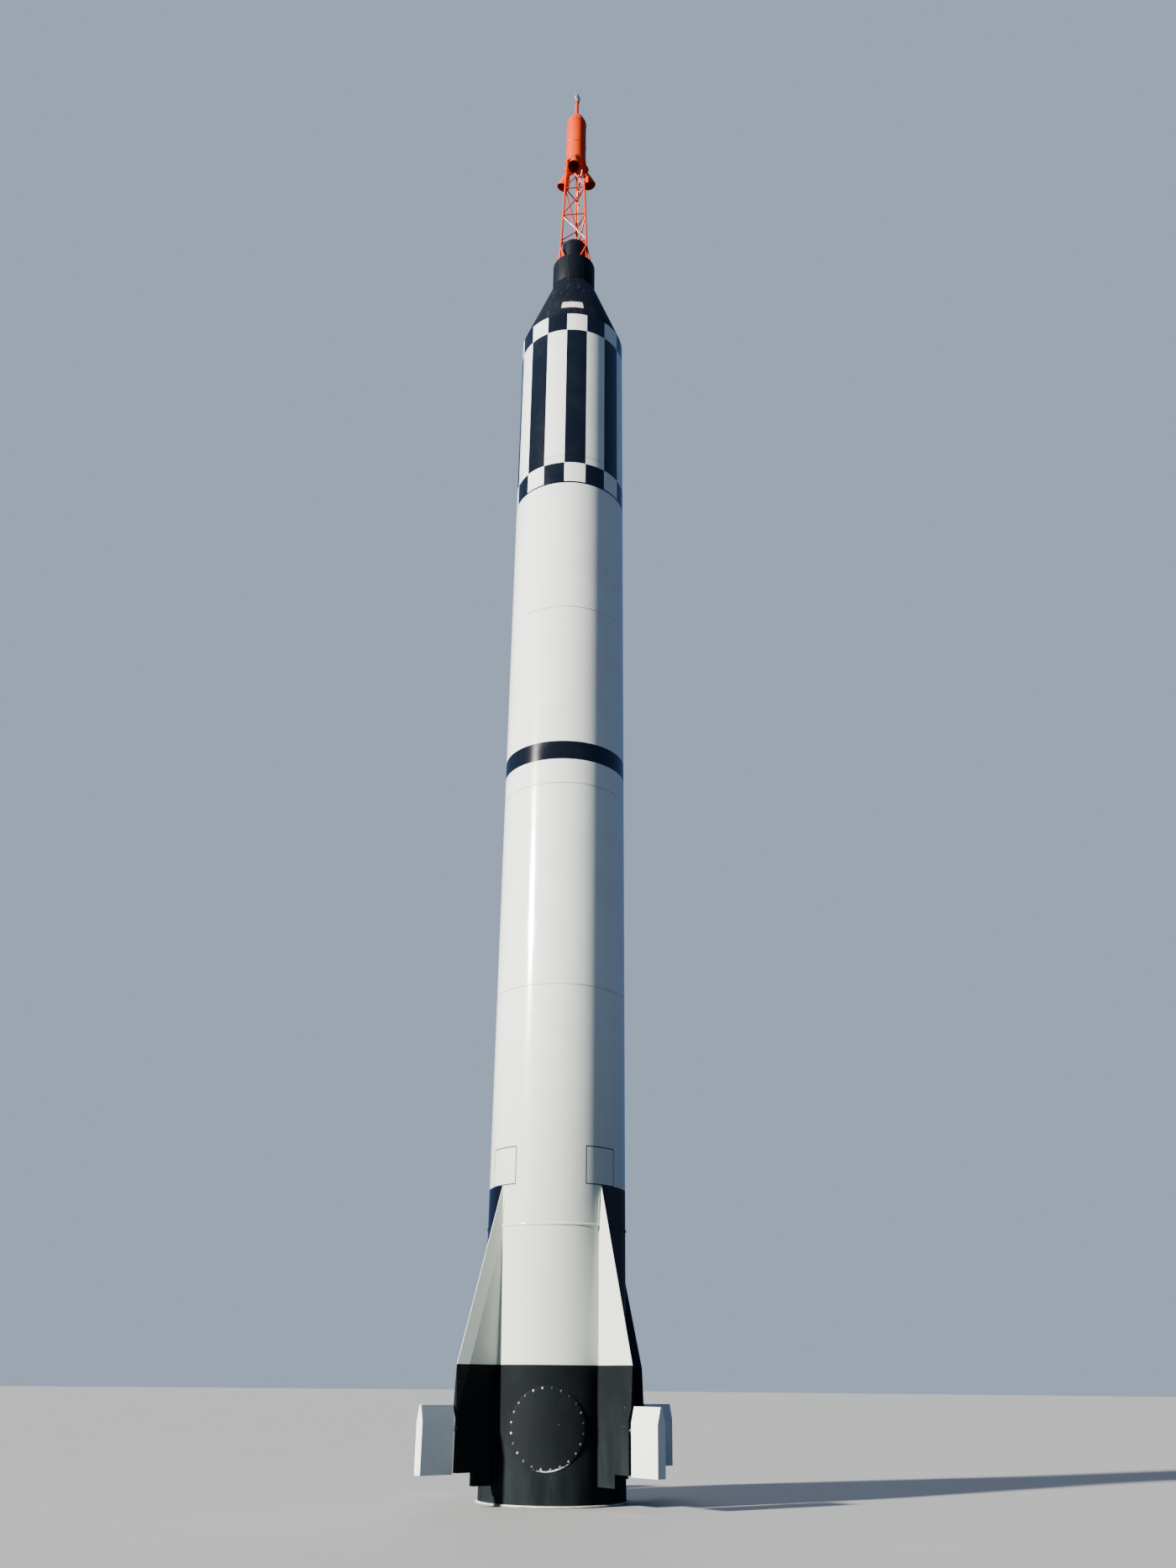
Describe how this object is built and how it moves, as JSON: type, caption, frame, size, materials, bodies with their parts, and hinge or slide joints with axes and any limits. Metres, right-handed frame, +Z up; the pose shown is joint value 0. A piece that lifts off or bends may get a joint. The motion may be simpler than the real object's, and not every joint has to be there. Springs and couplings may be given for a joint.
{
  "type": "outdoor display rocket",
  "caption": "Tall white and black display rocket with fins, hinged air rudders, a blunt cone and a red lattice escape tower with a motor on top.",
  "frame": {"origin": "centre of the base plate's underside, on the pad", "axes": "+Z up along the rocket. The fins stand along X and Y. The front, with the access cover, faces halfway between -X and -Y"},
  "size_m": [3.888, 3.888, 25.0253],
  "materials": {
    "body_paint": "gloss white paint with black bands, panels and checkers, weathered",
    "fin_paint": "gloss white paint, black on the lower part of each fin",
    "black_paint": "gloss black paint, weathered",
    "red_paint": "gloss orange-red paint",
    "grey_metal": "dull weathered metal",
    "shaft_steel": "plain bare steel"
  },
  "bodies": {
    "airframe": {"access_cover": "black_paint", "antenna_canister": "black_paint", "base_plate": "grey_metal", "capsule_cone": "black_paint", "capsule_neck": "black_paint", "capsule_skirt": "body_paint", "escape_nozzle_front": "red_paint", "escape_nozzle_left": "red_paint", "escape_nozzle_right": "red_paint", "fin_front_left": "fin_paint", "fin_front_right": "fin_paint", "fin_rear_left": "fin_paint", "fin_rear_right": "fin_paint", "finial": "grey_metal", "hull_forward": "body_paint", "hull_lower": "body_paint", "hull_middle": "body_paint", "hull_tail": "body_paint", "hull_upper": "body_paint", "motor_band_lower": "red_paint", "motor_band_middle": "red_paint", "motor_band_upper": "red_paint", "motor_case": "red_paint", "motor_flange": "red_paint", "top_rod": "red_paint", "tower_side_left": "red_paint", "tower_side_rear": "red_paint", "tower_side_right": "red_paint"},
    "rudder_set_front_left": {"rudder_front_left": "fin_paint", "rudder_shaft_front_left": "shaft_steel"},
    "rudder_set_front_right": {"rudder_front_right": "fin_paint", "rudder_shaft_front_right": "shaft_steel"},
    "rudder_set_rear_right": {"rudder_rear_right": "fin_paint", "rudder_shaft_rear_right": "shaft_steel"},
    "rudder_set_rear_left": {"rudder_rear_left": "fin_paint", "rudder_shaft_rear_left": "shaft_steel"}
  },
  "joints": [
    {"name": "rudder_hinge_front_left", "type": "hinge", "parent": "airframe", "child": "rudder_set_front_left", "pos_m": [-1.499, 0, 0.8], "axis": [-1, 0, 0], "range_deg": [-25, 25]},
    {"name": "rudder_hinge_front_right", "type": "hinge", "parent": "airframe", "child": "rudder_set_front_right", "pos_m": [0, -1.499, 0.8], "axis": [0, -1, 0], "range_deg": [-25, 25]},
    {"name": "rudder_hinge_rear_right", "type": "hinge", "parent": "airframe", "child": "rudder_set_rear_right", "pos_m": [1.499, 0, 0.8], "axis": [1, 0, 0], "range_deg": [-25, 25]},
    {"name": "rudder_hinge_rear_left", "type": "hinge", "parent": "airframe", "child": "rudder_set_rear_left", "pos_m": [0, 1.499, 0.8], "axis": [0, 1, 0], "range_deg": [-25, 25]}
  ]
}
